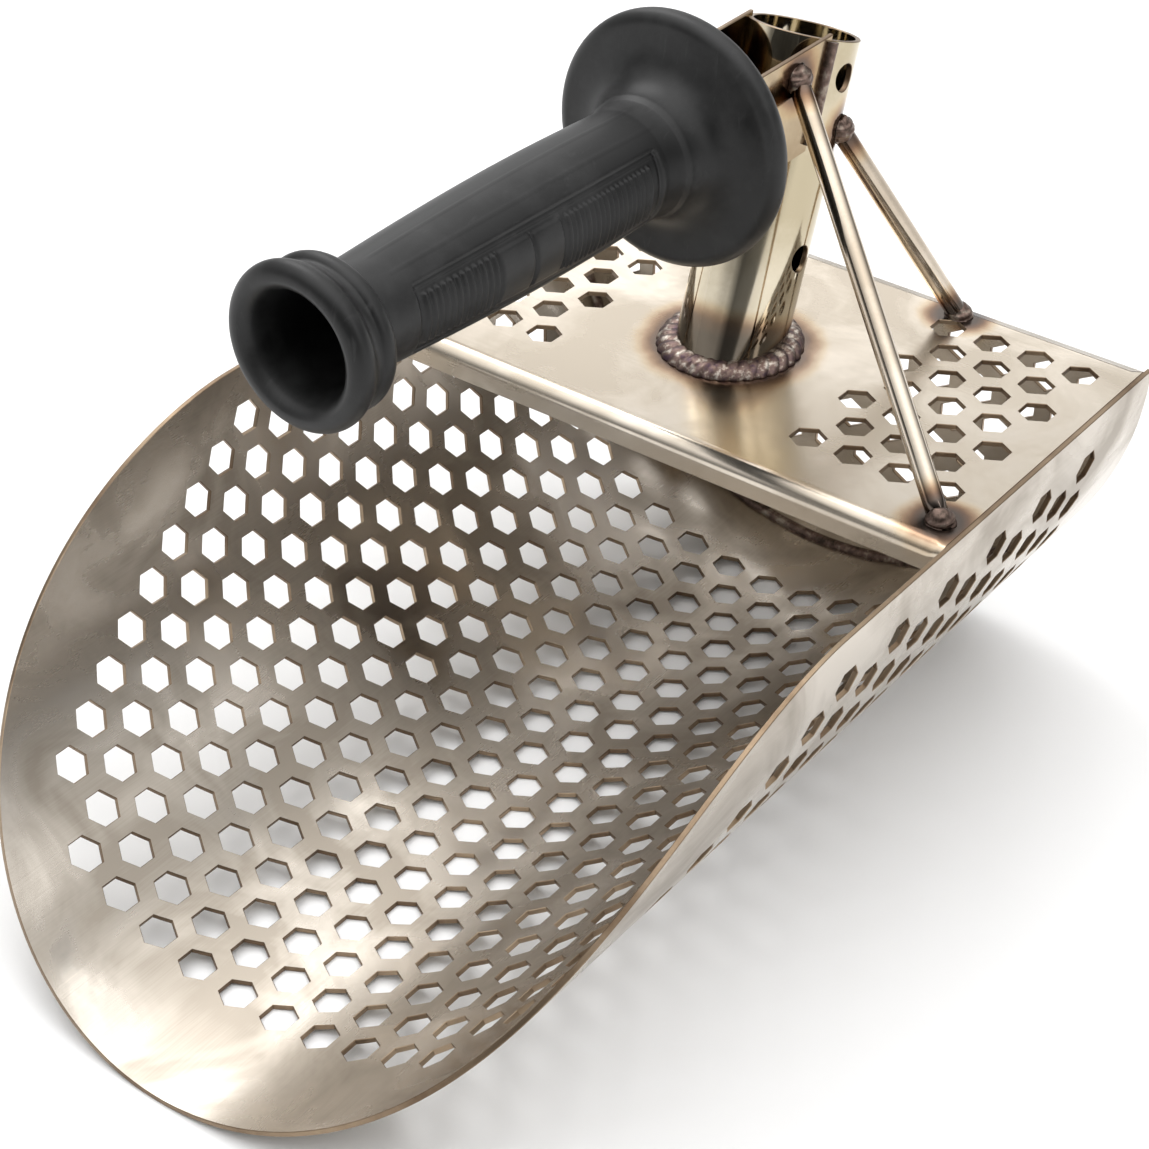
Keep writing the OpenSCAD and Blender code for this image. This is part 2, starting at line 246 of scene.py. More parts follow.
@dataclass
class FoldedSheet:
    """A sheet of metal that is cut flat, with its holes, and then rolled or folded.

    The flat sheet is triangulated, because holes leave no two-way grid. A fold then carries it
    to its place: it takes flat places and a depth below the outer face, and gives points and
    outward normals. Both faces, the cut walls and a small broken edge all come from that fold.
    """

    name: str
    outline: np.ndarray
    holes: list[np.ndarray]
    fold: Fold
    thickness: float
    spacing: float
    broken_edge: float = 0.18
    seam: float | None = None

    def flat_triangles(self) -> tuple[np.ndarray, np.ndarray]:
        """Triangulates the flat sheet between its outline and its holes.

        Returns:
            The flat points, and the triangles that lie on metal, counter-clockwise.
        """
        loops = [self.outline, *self.holes]
        starts = np.cumsum([0] + [len(loop) for loop in loops[:-1]])
        edges = np.concatenate([np.column_stack([s + np.arange(len(p)), s + np.roll(np.arange(len(p)), -1)])
                                for s, p in zip(starts, loops)])
        rim = np.concatenate(loops)
        points = np.concatenate([rim, self.inner_points(rim)])
        done = delaunay_2d_cdt([Vector(p) for p in points], edges.tolist(), [], 0, 1e-5, False)
        flat, faces = np.array(done[0]), np.array(done[2])
        middle = flat[faces].mean(axis=1)
        return flat, faces[self.on_metal(middle)]

    def on_metal(self, points: np.ndarray) -> np.ndarray:
        """Tells which flat points lie inside the outline and outside every hole."""
        solid = within(points, self.outline)
        for hole in self.holes:
            near = np.abs(points - hole.mean(axis=0)).max(axis=1) < np.ptp(hole, axis=0).max()
            solid[near] &= ~within(points[near], hole)
        return solid

    def inner_points(self, rim: np.ndarray) -> np.ndarray:
        """Lays points in even rows over the flat sheet, clear of its cut edges."""
        low, high = rim.min(axis=0), rim.max(axis=0)
        rise = self.spacing * math.sqrt(3) / 2
        u, v = np.meshgrid(np.arange(low[0], high[0], self.spacing), np.arange(low[1], high[1], rise))
        u[1::2] += self.spacing / 2
        grid = np.column_stack([u.ravel(), v.ravel()])
        grid = grid[self.on_metal(grid)]
        clear = [np.hypot(*(some[:, None] - rim[None]).transpose(2, 0, 1)).min(axis=1)
                 for some in np.array_split(grid, 1 + len(grid) // 500)]
        return grid[np.concatenate(clear) > 0.4 * self.spacing]

    def build(self) -> bpy.types.Object:
        """Folds both faces into place and joins them by walls with broken edges.

        Returns:
            The finished sheet as an object.
        """
        flat, faces = self.flat_triangles()
        sides = np.concatenate([faces[:, [0, 1]], faces[:, [1, 2]], faces[:, [2, 0]]])
        keys = sides[:, 0] * len(flat) + sides[:, 1]
        cut = sides[~np.isin(keys, sides[:, 1] * len(flat) + sides[:, 0])]
        if self.seam:
            cut = cut[~(np.abs(flat[cut][:, :, 0]) > self.seam - 1e-4).all(axis=1)]
        run = unit(flat[cut[:, 1]] - flat[cut[:, 0]])
        out = np.column_stack([run[:, 1], -run[:, 0]])
        corner = np.zeros_like(flat)
        np.add.at(corner, cut.ravel(), np.repeat(out, 2, axis=0))
        size = np.linalg.norm(corner, axis=1, keepdims=True)
        shift = np.where(size > 0, corner / np.maximum(size, 1e-9) ** 2 * 2, 0) * -self.broken_edge
        smooth = np.where(size > 1.9, corner / np.maximum(size, 1e-9), 0)

        c, depth = self.broken_edge, self.thickness
        layers = [self.fold(flat + shift, 0.0), self.fold(flat, c),
                  self.fold(flat, depth - c), self.fold(flat + shift, depth)]
        points = place(np.concatenate([layer[0] for layer in layers]))
        n = len(flat)
        joined = self.joined(flat)
        a, b = cut[:, 0], cut[:, 1]
        strips = [np.column_stack([a + i * n, a + (i + 1) * n, b + (i + 1) * n, b + i * n]) for i in range(3)]
        facing = self.wall_normals(flat, cut, out, smooth)
        up, down = layers[0][1], -layers[3][1]
        edge_up, edge_down = up[[a, a, b, b]], down[[a, a, b, b]]
        walls = np.stack([facing[0], facing[0], facing[1], facing[1]])
        blends = [unit(unit(edge_up) + walls), walls, unit(unit(edge_down) + walls)]
        normals = [up[faces].reshape(-1, 3), down[faces[:, ::-1]].reshape(-1, 3)]
        normals += [blend.transpose(1, 0, 2).reshape(-1, 3) for blend in blends]
        strips_flat = [flat[s % n].reshape(-1, 2) for s in strips]
        maps = [flat[faces].reshape(-1, 2), flat[faces[:, ::-1]].reshape(-1, 2), *strips_flat]
        groups = [joined[group] for group in (faces, faces[:, ::-1] + 3 * n, *strips)]
        made = mesh_object(self.name, points, groups, np.concatenate(normals), np.concatenate(maps) * MM)
        slots = np.repeat([0, 1], [2 * len(faces), 3 * len(cut)]).astype(np.int32)
        made.data.polygons.foreach_set("material_index", slots)
        return made

    def joined(self, flat: np.ndarray) -> np.ndarray:
        """Gives the corner number to use for each point, so that the sheet's two ends share one."""
        number = np.arange(len(flat))
        if self.seam:
            first = number[flat[:, 0] < 1e-4 - self.seam]
            last = number[flat[:, 0] > self.seam - 1e-4]
            number[last] = first[np.abs(flat[last, 1][:, None] - flat[first, 1][None]).argmin(axis=1)]
        return np.concatenate([number + layer * len(flat) for layer in range(4)])

    def wall_normals(self, flat: np.ndarray, cut: np.ndarray, out: np.ndarray,
                     smooth: np.ndarray) -> list[np.ndarray]:
        """Finds where the cut walls face, by folding a point just outside each corner.

        Args:
            flat: the flat points.
            cut: the two ends of each cut side.
            out: the flat direction that each side faces.
            smooth: at points of round outlines, the shared direction; elsewhere zero.

        Returns:
            The directions at the first ends and at the second ends.
        """
        facing = []
        for end in (0, 1):
            at = cut[:, end]
            shared = smooth[at]
            towards = np.where(np.abs(shared).sum(axis=1, keepdims=True) > 0, shared, out)
            step = 0.05
            facing.append(unit(self.fold(flat[at] + step * towards, 0.0)[0]
                               - self.fold(flat[at] - step * towards, 0.0)[0]))
        return facing


# --- sheet parts ---


@dataclass
class Perforation:
    """The hexagonal holes, whose rows lie half a pitch apart from their neighbours."""

    pitch: float = 14.4
    flats: float = 9.0

    @property
    def row_step(self) -> float:
        """Distance from one row of holes to the next."""
        return self.pitch * math.sqrt(3) / 2

    def row(self, across: np.ndarray, along: float) -> list[np.ndarray]:
        """Makes the hexagons of one row, from their places across and along the sheet."""
        return [hexagon((float(u), along), self.flats) for u in across]


@dataclass
class Trough:
    """The half-round trough, rolled from one perforated sheet whose front sweeps to a nose."""

    holes: Perforation
    thickness: float = 1.5
    sweep: float = 147.0
    nose_power: float = 1.8
    rows_start: float = 33.0
    rim_margin: float = 15.0
    nose_margin: float = 38.0
    length: float = field(init=False)
    radius: float = field(init=False)

    def __post_init__(self) -> None:
        """Takes the length and the inner radius from the CAD frame."""
        low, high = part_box("trough_shell")
        self.length = (high.x - low.x) / MM
        self.radius = (high.z - low.z) / MM - self.thickness

    def fold(self, flat: np.ndarray, depth: float) -> tuple[np.ndarray, np.ndarray]:
        """Rolls the sheet: the angle from the keel is the flat distance over the inner radius.

        Args:
            flat: distance from the keel and distance from the rear edge, in millimetres.
            depth: distance below the outer face.

        Returns:
            Points, and normals that point away from the trough's axis.
        """
        angle = flat[:, 0] / self.radius
        normal = np.column_stack([np.zeros(len(flat)), np.sin(angle), -np.cos(angle)])
        points = normal * (self.radius + self.thickness - depth)
        points[:, 0] = flat[:, 1]
        return points, normal

    def outline(self) -> np.ndarray:
        """The unrolled sheet: a rectangle whose front is a superellipse, x = a·(1 − u²)^(1/n)."""
        reach = self.radius * math.pi / 2
        turn = np.linspace(math.pi / 2, -math.pi / 2, 151)
        ahead = self.sweep * np.cos(turn) ** (2 / self.nose_power)
        nose = np.column_stack([reach * np.sin(turn), self.length - self.sweep + ahead])
        rear = np.array([[-reach, 0.0], [reach, 0.0]])
        return resampled(np.concatenate([rear, nose]), 4.0, closed=True)

    def hole_rows(self) -> list[np.ndarray]:
        """Full rows up to the sweep, then each row half a pitch shorter on both sides."""
        step = self.holes.row_step
        rows = int((self.length - self.nose_margin - self.rows_start) / step) + 1
        widest = int((self.radius * math.pi / 2 - self.rim_margin) / self.holes.pitch)
        full = int((self.length - self.sweep - self.rows_start) / step) + 1
        made = []
        for row in range(rows):
            half = widest - (row % 2) / 2
            if row >= full:
                half = widest - (row - full + 1) / 2 - (row == rows - 1)
            made += self.holes.row(np.arange(-half, half + 0.1) * self.holes.pitch,
                                   self.rows_start + row * step)
        return made

    def build(self) -> bpy.types.Object:
        """Builds the rolled and perforated trough."""
        sheet = FoldedSheet("trough", self.outline(), self.hole_rows(), self.fold, self.thickness, POINT_SPACING)
        return sheet.build()


@dataclass
class Cover:
    """The folded cover: a front flange, a flat top with holes at both sides and a back wall."""

    holes: Perforation
    trough: Trough
    thickness: float = 1.5
    bend: float = 3.0
    flange: float = 8.5
    rows_start: float = 15.0
    front_margin: float = 20.0
    side_margin: float = 13.0
    innermost: float = 45.5
    back_start: float = 13.0
    back_margin: float = 9.0
    length: float = field(init=False)

    def __post_init__(self) -> None:
        """Takes the length from the CAD frame and works out where the bends begin."""
        low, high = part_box("cover_plate")
        self.length = (high.x - low.x) / MM
        arc_length = self.bend * math.pi / 2
        self.stops = np.cumsum([0.0, self.flange - self.bend, arc_length,
                                self.length - 2 * self.bend, arc_length])

    def fold(self, flat: np.ndarray, depth: float) -> tuple[np.ndarray, np.ndarray]:
        """Folds the sheet up the flange, back along the top and down the back wall.

        Args:
            flat: distance from the middle line and distance along the outer face from the
                flange's lower edge.
            depth: distance below the outer face.

        Returns:
            Points and outward normals: straight stretches keep one normal, and in a bend it
            turns by the distance over the bend's radius.
        """
        y, s = flat.T
        turned = (np.clip(s, *self.stops[1:3]) - self.stops[1]
                  + np.clip(s, *self.stops[3:5]) - self.stops[3]) / self.bend
        normal = np.column_stack([np.cos(turned), np.zeros(len(s)), np.sin(turned)])
        up = np.minimum(s, self.stops[1]) - self.stops[1] - self.bend
        back = np.clip(s, *self.stops[2:4]) - self.stops[2]
        down = np.maximum(s - self.stops[4], 0.0)
        x = self.length - self.bend - back + (self.bend - depth) * normal[:, 0]
        z = up - down + (self.bend - depth) * normal[:, 2]
        return np.column_stack([x, y, z]), normal

    def outline(self) -> np.ndarray:
        """The flat sheet is as wide, at each height, as the trough's half circle: y² + z² = r²."""
        foot = self.trough.radius - self.bend
        drop = self.bend + foot * np.sin(np.linspace(0.0, math.pi / 2, 72))
        s = np.concatenate([np.linspace(0.0, self.stops[1], 4), np.linspace(*self.stops[1:3], 9)[1:],
                            np.linspace(*self.stops[2:4], 28)[1:], np.linspace(*self.stops[3:5], 9)[1:],
                            self.stops[4] + drop[1:] - self.bend])
        height = self.fold(np.column_stack([np.zeros(len(s)), s]), 0.0)[0][:, 2]
        half = np.sqrt(np.maximum(self.trough.radius ** 2 - height ** 2, 0.0))
        left = np.column_stack([half, s])[:-1]
        foot_point = [[0.0, s[-1]]]
        right = left[::-1] * [-1, 1]
        return resampled(np.concatenate([left, foot_point, right]), 4.0, closed=True)

    def top_holes(self) -> list[np.ndarray]:
        """Rows of holes on both sides of the socket, as far as the plain margins allow."""
        step, pitch = self.holes.row_step, self.holes.pitch
        rows = int((self.length - self.front_margin - self.rows_start) / step) + 1
        columns = int((self.trough.radius - self.side_margin - self.innermost) / pitch) + 1
        made = []
        for row in range(rows):
            across = self.innermost + (np.arange(columns - row % 2) + (row % 2) / 2) * pitch
            along = self.stops[3] + self.bend - self.rows_start - row * step
            for side in Side:
                made += self.holes.row(side.value * across, along)
        return made

    def back_holes(self) -> list[np.ndarray]:
        """Rows of holes that fill the half disc of the back wall inside a plain margin."""
        reach = self.trough.radius - self.back_margin - self.holes.flats / math.sqrt(3)
        rows = int((reach - self.back_start) / self.holes.row_step) + 1
        made = []
        for row in range(rows):
            depth = self.back_start + row * self.holes.row_step
            half = math.sqrt(reach ** 2 - depth ** 2) / self.holes.pitch
            span = math.floor(half - (row % 2) / 2) + (row % 2) / 2
            along = self.stops[4] + depth - self.bend
            made += self.holes.row(np.arange(-span, span + 0.1) * self.holes.pitch, along)
        return made

    def build(self) -> bpy.types.Object:
        """Builds the folded and perforated cover."""
        sheet = FoldedSheet("cover", self.outline(), self.top_holes() + self.back_holes(),
                            self.fold, self.thickness, POINT_SPACING)
        return sheet.build()


@dataclass
class Socket:
    """The leaning tube that takes the shaft, cross-drilled twice, with its foot cut level."""

    foot_x: float = 61.0
    lean: float = 19.0
    length: float = 92.0
    outer: float = 16.0
    wall: float = 1.5
    bolt_hole: float = 8.0
    bolts_at: tuple[float, float] = (30.0, 82.0)

    @property
    def along(self) -> np.ndarray:
        """Direction of the socket's axis, from its foot to its mouth."""
        return np.array([-math.sin(math.radians(self.lean)), 0.0, math.cos(math.radians(self.lean))])

    @property
    def ahead(self) -> np.ndarray:
        """Direction square to the axis that points forwards and up."""
        return np.array([math.cos(math.radians(self.lean)), 0.0, math.sin(math.radians(self.lean))])

    def axis_x(self, z: float) -> float:
        """Distance from the rear edge to the axis, at a height above the cover."""
        return self.foot_x - z * math.tan(math.radians(self.lean))

    def fold(self, flat: np.ndarray, depth: float) -> tuple[np.ndarray, np.ndarray]:
        """Rolls the sheet round the axis and trims its foot level with the cover.

        Args:
            flat: distance round the outer face from the front, and distance along the axis.
            depth: distance below the outer face.

        Returns:
            Points and outward normals; the foot stands where axis and circle give a height of 0.
        """
        turn = flat[:, 0] / self.outer
        radius = self.outer - depth
        foot = -radius * np.cos(turn) * math.tan(math.radians(self.lean))
        normal = np.cos(turn)[:, None] * self.ahead + np.sin(turn)[:, None] * np.array([0.0, 1.0, 0.0])
        points = radius * normal + np.maximum(flat[:, 1], foot)[:, None] * self.along
        points[:, 0] += self.foot_x
        return points, normal

    def build(self) -> bpy.types.Object:
        """Builds the tube from a flat sheet with a wavy foot and two pairs of round holes."""
        reach = math.pi * self.outer
        columns = 97
        across = np.linspace(-reach, reach, columns)
        foot = -self.outer * np.cos(across / self.outer) * math.tan(math.radians(self.lean))
        lower = np.column_stack([across, foot])
        upper = np.column_stack([across[::-1], np.full(columns, self.length)])
        circle = arc((0.0, 0.0), self.bolt_hole / 2, 0, 360, 40)[:-1]
        holes = [circle + [side.value * reach / 2, at] for side in Side for at in self.bolts_at]
        outline = resampled(np.concatenate([lower, upper]), 5.0, closed=True)
        sheet = FoldedSheet("socket", outline, holes, self.fold, self.wall, 3.0, seam=reach)
        return sheet.build()


@dataclass
class Grip:
    """The rubber side grip: a guard disc, a swelling hand part and a flared mouth."""

    length: float = 144.0
    guard_x: float = 99.0
    guard_radius: float = 35.5
    guard_thick: float = 9.0
    core_radius: float = 11.0
    rubber: float = 5.25
    lip_reach: float = 5.0
    tilt: float = 1.8
    below_mouth: float = 9.5
    panel_angle: float = 37.0
    rib_angle: float = 27.0
    panel_span: tuple[float, float] = (21.0, 114.0)
    rib_zones: tuple[tuple[float, float, float], ...] = ((24.5, 61.0, 1.9), (86.5, 113.0, 2.2))
    cross_grooves: tuple[float, ...] = (61.5, 73.0, 86.0)
    socket: Socket = field(default_factory=Socket)

    @property
    def start(self) -> np.ndarray:
        """Middle of the guard's front edge."""
        height = self.socket.length * self.socket.along[2] - self.below_mouth
        return np.array([self.guard_x, 0.0, height])

    @property
    def along(self) -> np.ndarray:
        """Direction of the grip's axis, from the guard to the mouth."""
        return np.array([math.cos(math.radians(self.tilt)), 0.0, math.sin(math.radians(self.tilt))])

    def guard_profile(self) -> np.ndarray:
        """Radius and distance of the guard: flat back, round edge, dished front, fillet."""
        edge = self.guard_thick / 2 - 0.5
        hub = self.core_radius + self.rubber - 1.0
        web = self.guard_radius - hub
        centre = (self.guard_radius - edge, edge - self.guard_thick)
        back = np.column_stack([np.linspace(self.core_radius, centre[0], 12)[:-1],
                                np.full(11, -self.guard_thick)])
        rim = arc(centre, edge, -90, 80, 24)
        u = np.linspace(0.0, 1.0, 30)[1:]
        front_r = rim[-1, 0] + (hub + 0.08 * web - rim[-1, 0]) * (1 - (1 - u) ** 1.35)
        front_t = rim[-1, 1] + 1.2 * u + 10.5 * u ** 3.2
        return np.concatenate([back, rim, np.column_stack([front_r, front_t])])

    def hand_profile(self) -> np.ndarray:
        """Radius and distance of the hand part: a hub, a swell past the middle and a neck."""
        t = np.arange(11.5, self.length - 19.0, 0.42)
        hub, full = self.core_radius + self.rubber - 1.0, self.core_radius + self.rubber
        neck = full - 2.5
        u = np.clip((t - 18.0) / (self.length - 40.0), 0.0, 1.0)
        radius = hub + (full - hub) * np.sin(np.pi * u ** 0.8) + (neck - hub) * u * u
        radius += 1.0 * np.exp(-((t - 11.5) / 4.5))
        return np.column_stack([radius, t])

    def mouth_profile(self) -> np.ndarray:
        """Radius and distance of the collar, the rounded lip and the flare inside the mouth."""
        full = self.core_radius + self.rubber
        neck, lip, end = full - 2.5, full + self.lip_reach, self.length
        points = [[neck + 0.1, end - 17.5], [neck + 0.2, end - 15.6], [neck + 1.2, end - 15.0]]
        collar = arc((lip - 4.3, end - 12.3), 3.0, -60, 55, 10)
        lip_ring = arc((lip - 3.6, end - 3.6), 3.6, -48, 105, 18)
        inside = [[lip - 6.0, end - 1.2], [lip - 6.9, end - 2.8], [lip - 7.5, end - 5.2],
                  [lip - 8.1, end - 9.0], [self.core_radius + 1.2, end - 16.0],
                  [self.core_radius + 0.4, end - 23.0], [self.core_radius, end - 30.0],
                  [self.core_radius, end - 49.0]]
        return np.concatenate([points, collar, lip_ring, inside])

    def relief(self, t: np.ndarray, angle: np.ndarray) -> np.ndarray:
        """Height of the moulded details of the hand part, in millimetres.

        The side panels are let in. A groove frames them, fine ribs rise in two zones as raised
        cosines, and three grooves cross the plain middle. Two mould lines stand on the top.

        Args:
            t: distance from the guard, as a column.
            angle: angle from the grip's side, as a row, folded to lie between −90° and 90°.

        Returns:
            Heights to add to the radius.
        """
        reach = np.abs(angle)
        ends = window(t, *self.panel_span, 1.6)
        height = -0.55 * ends * smooth_step(reach, self.panel_angle - 1.5, self.panel_angle - 4.5)
        height = height - 0.95 * ends * np.exp(-((reach - self.panel_angle) / 1.7) ** 2)
        low_end, high_end = self.panel_span
        for end in (low_end, high_end):
            height = height - 0.5 * np.exp(-((t - end) / 0.6) ** 2) * (reach < self.panel_angle)
        inside = smooth_step(reach, self.rib_angle + 1.6, self.rib_angle - 0.8)
        for start, stop, pitch in self.rib_zones:
            wave = 0.5 + 0.5 * np.cos(2 * np.pi * (t - start) / pitch - np.pi)
            height = height + 0.9 * window(t, start, stop, 0.6) * inside * wave ** 0.8
        middle = window(t, self.rib_zones[0][1], self.rib_zones[1][0], 0.6)
        height = height + 0.45 * middle * inside
        for at in self.cross_grooves:
            bowed = t - at - 1.2 * (1 - np.cos(np.radians(angle * 2)))
            height = height - 1.0 * np.exp(-(bowed / 0.55) ** 2) * inside
        return height

    def mould_lines(self, t: np.ndarray, turn: np.ndarray) -> np.ndarray:
        """Faint raised lines left by the mould at 60° and 88° from the side, in millimetres."""
        length = window(t, 16.0, 118.0, 4.0)
        lines = np.exp(-((turn - 60.0) / 0.9) ** 2) + 0.7 * np.exp(-((turn - 88.0) / 0.9) ** 2)
        return 0.22 * length * lines

    def build(self) -> bpy.types.Object:
        """Builds the grip as rings about its axis, with the relief added to the radius."""
        profile = np.concatenate([self.guard_profile(), self.hand_profile(), self.mouth_profile()])
        around = 176
        rings = revolved(profile, self.start, self.along, np.array([0.0, 1.0, 0.0]), around)
        turn = np.degrees(np.linspace(0.0, 2 * np.pi, around, endpoint=False))[None, :]
        folded = np.degrees(np.arcsin(np.sin(np.radians(turn))))
        t = profile[:, 1:]
        outside = (np.arange(len(profile)) < len(profile) - 12)[:, None] & (t > 14.0)
        height = np.where(outside, self.relief(t, folded) + self.mould_lines(t, turn), 0.0)
        spokes = unit(rings - rings.mean(axis=1, keepdims=True))
        return lofted("grip", rings + height[:, :, None] * spokes)


@dataclass
class Bracket:
    """The saddle that carries the grip: two cheeks coped to the socket and a web in front."""

    socket: Socket
    grip: Grip
    inset: float = 2.25
    height: float = 31.0
    web_gap: float = 3.0
    bend: float = 2.5
    below_axis: float = 1.5

    def __post_init__(self) -> None:
        """Works out the web's place and the cheeks' distance from the middle plane."""
        guard_back = self.grip.start - self.grip.guard_thick * self.grip.along
        self.web_x = guard_back[0] - self.web_gap
        self.middle_z = guard_back[2] - self.below_axis
        self.half = self.socket.outer - self.inset
        self.straight = self.half - self.bend
        self.turned = self.straight + self.bend * math.pi / 2

    def fold(self, flat: np.ndarray, depth: float) -> tuple[np.ndarray, np.ndarray]:
        """Folds the strip into a U: web, two bends, two cheeks.

        Args:
            flat: distance round the outer face from the web's middle, and height.
            depth: distance below the outer face.

        Returns:
            Points and outward normals; a bend turns by the distance over its radius.
        """
        s, z = flat.T
        side, reach = np.sign(s), np.abs(s)
        turned = np.clip((reach - self.straight) / self.bend, 0.0, math.pi / 2)
        normal = np.column_stack([np.cos(turned), side * np.sin(turned), np.zeros(len(s))])
        back = np.maximum(reach - self.turned, 0.0)
        arm = self.bend - depth
        x = self.web_x - self.bend + arm * np.cos(turned) - back
        y = side * (np.minimum(reach, self.straight) + arm * np.sin(turned))
        return np.column_stack([x, y, z]), normal

    def build(self) -> bpy.types.Object:
        """Builds the saddle; its rear edges follow the line where the cheeks meet the socket."""
        lean = math.radians(self.socket.lean)
        ahead = math.sqrt(self.socket.outer ** 2 - self.half ** 2) / math.cos(lean)
        z = self.middle_z + np.array([-0.5, 0.5]) * self.height
        rear = self.socket.foot_x + ahead - z * math.tan(lean)
        reach = self.turned + self.web_x - self.bend - rear
        corners = np.array([[reach[0], z[0]], [reach[1], z[1]], [-reach[1], z[1]], [-reach[0], z[0]]])
        outline = resampled(corners, 1.5, closed=True)
        sheet = FoldedSheet("bracket", outline, [], self.fold, 1.5, 1.6, broken_edge=0.25)
        return sheet.build()


# --- rods and welds ---


@dataclass
class StayRods:
    """Two front rods from the cover's corners to the bracket, two rear ones to the socket."""

    socket: Socket
    bracket: Bracket
    cover: Cover
    radius: float = 3.0
    front_foot_back: float = 11.0
    front_foot_in: float = 7.0
    front_head_ahead: float = 5.0
    front_head_drop: float = 7.0
    rear_foot: tuple[float, float] = (6.5, 44.0)
    rear_head_share: float = 0.73
    rear_head_side: float = 66.0

    def front_ends(self, side: Side) -> tuple[np.ndarray, np.ndarray]:
        """Foot and head of a front rod: on the cover's top, and on a cheek of the bracket."""
        foot = np.array([self.cover.length - self.front_foot_back,
                         side.value * (self.cover.trough.radius - self.front_foot_in), 0.0])
        ahead = self.socket.axis_x(self.bracket.grip.start[2]) + self.socket.outer + self.front_head_ahead
        up = self.bracket.middle_z + self.bracket.height / 2 - self.front_head_drop
        return foot, np.array([ahead, side.value * self.bracket.half, up])

    def rear_ends(self, side: Side) -> tuple[np.ndarray, np.ndarray]:
        """Foot and head of a rear rod: on the cover's top, and on the socket's back."""
        foot = np.array([self.rear_foot[0], side.value * self.rear_foot[1], 0.0])
        turn = math.radians(180.0 - self.rear_head_side)
        spoke = math.cos(turn) * self.socket.ahead + np.array([0.0, side.value * math.sin(turn), 0.0])
        up = self.rear_head_share * self.socket.length * self.socket.along
        return foot, np.array([self.socket.foot_x, 0.0, 0.0]) + up + self.socket.outer * spoke

    def rod(self, name: str, foot: np.ndarray, head: np.ndarray, facing: np.ndarray) -> bpy.types.Object:
        """Builds a round bar whose foot is cut level and whose head is cut to a plane.

        Each end ring slides its points along the bar until they meet the plane: the slide is
        the spoke's height over the plane divided by the bar's.

        Args:
            name: the object's name.
            foot: middle of the foot.
            head: middle of the head.
            facing: normal of the plane that the head meets.

        Returns:
            The bar as an object.
        """
        along = unit(head - foot)
        side = unit(np.cross(along, [0.0, 0.0, 1.0]))
        length = float(np.linalg.norm(head - foot))
        rows, around = 24, 40
        profile = np.column_stack([np.full(rows, self.radius), np.linspace(0.0, length, rows)])
        rings = revolved(profile, foot, along, side, around)
        for ring, normal in ((0, np.array([0.0, 0.0, 1.0])), (-1, facing)):
            middle = foot if ring == 0 else head
            slide = (rings[ring] - middle) @ normal / (along @ normal)
            rings[ring] = rings[ring] - slide[:, None] * along
        return lofted(name, rings)

    def build(self) -> dict[str, bpy.types.Object]:
        """Builds the four rods, each under the name of the CAD node that it stands for."""
        made = {}
        for side in Side:
            label = side.name.lower()
            foot, head = self.front_ends(side)
            cheek = np.array([0.0, 1.0, 0.0])
            made[f"front_brace_{label}"] = self.rod(f"front_rod_{label}", foot, head, cheek)
            foot, head = self.rear_ends(side)
            at_socket = np.array([self.socket.foot_x, 0.0, 0.0]) + self.socket.along * (
                self.rear_head_share * self.socket.length)
            made[f"rear_brace_{label}"] = self.rod(f"rear_rod_{label}", foot, head, unit(head - at_socket))
        return made


